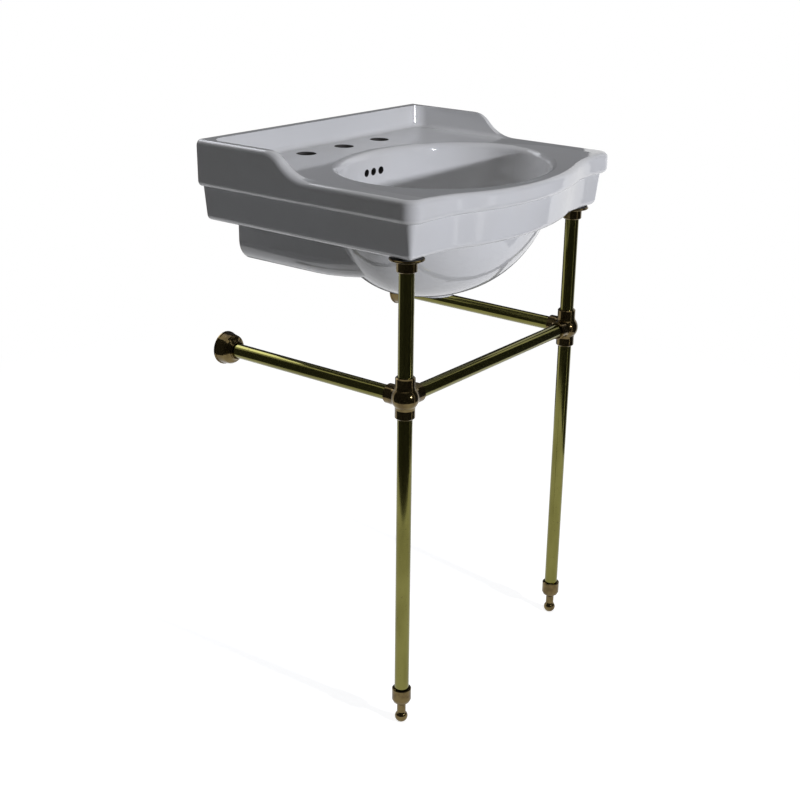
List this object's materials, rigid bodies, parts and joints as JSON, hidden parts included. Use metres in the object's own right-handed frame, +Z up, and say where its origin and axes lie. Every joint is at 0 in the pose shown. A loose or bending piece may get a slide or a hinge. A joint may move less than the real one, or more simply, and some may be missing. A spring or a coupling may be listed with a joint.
{
  "type": "console washbasin with legs",
  "caption": "Glazed ceramic console basin with an oval bowl, raised splash rim and bowed front, on brass tube legs with a crossbar, rails to the wall and ball feet.",
  "frame": {"origin": "on the floor, in the middle of the basin's plan", "axes": "+Z up; +Y towards the wall, which the back touches at y 0.246 m; +X to the right of a person who stands in front and faces the wall"},
  "size_m": [0.596, 0.492, 0.988],
  "materials": {
    "glazed_ceramic": "glossy white glaze",
    "brass_tube": "polished aged brass tube",
    "brass_casting": "polished aged brass casting",
    "rubber": "matt",
    "steel": "plain"
  },
  "bodies": {
    "frame": {"basin": "glazed_ceramic", "front_crossbar": "brass_tube", "set_screws": "steel", "rubber_pad_left": "rubber", "top_flange_left": "brass_casting", "upper_leg_left": "brass_tube", "corner_fitting_left": "brass_casting", "lower_leg_left": "brass_tube", "side_rail_left": "brass_tube", "wall_plate_left": "brass_casting", "leg_plug_left": "brass_casting", "rubber_pad_right": "rubber", "top_flange_right": "brass_casting", "upper_leg_right": "brass_tube", "corner_fitting_right": "brass_casting", "lower_leg_right": "brass_tube", "side_rail_right": "brass_tube", "wall_plate_right": "brass_casting", "leg_plug_right": "brass_casting"},
    "left_stud": {"levelling_stud_left": "steel"},
    "left_foot": {"foot_left": "brass_casting"},
    "left_cover": {"wall_cover_left": "brass_casting"},
    "right_stud": {"levelling_stud_right": "steel"},
    "right_foot": {"foot_right": "brass_casting"},
    "right_cover": {"wall_cover_right": "brass_casting"}
  },
  "joints": [
    {"name": "left_stud_travel", "type": "slide", "parent": "frame", "child": "left_stud", "axis": [0, 0, 1], "range_m": [-0.012, 0.004]},
    {"name": "left_foot_turn", "type": "hinge", "parent": "left_stud", "child": "left_foot", "pos_m": [-0.25, -0.157, 0], "axis": [0, 0, 1], "range_deg": [-3456, 1152]},
    {"name": "left_cover_slide", "type": "slide", "parent": "frame", "child": "left_cover", "axis": [0, -1, 0], "range_m": [0, 0.33]},
    {"name": "right_stud_travel", "type": "slide", "parent": "frame", "child": "right_stud", "axis": [0, 0, 1], "range_m": [-0.012, 0.004]},
    {"name": "right_foot_turn", "type": "hinge", "parent": "right_stud", "child": "right_foot", "pos_m": [0.25, -0.157, 0], "axis": [0, 0, 1], "range_deg": [-3456, 1152]},
    {"name": "right_cover_slide", "type": "slide", "parent": "frame", "child": "right_cover", "axis": [0, -1, 0], "range_m": [0, 0.33]}
  ],
  "couplings": [
    {"joint": "left_foot_turn", "follows": "left_stud_travel", "rad_per_m": 5026.5},
    {"joint": "right_foot_turn", "follows": "right_stud_travel", "rad_per_m": 5026.5}
  ]
}
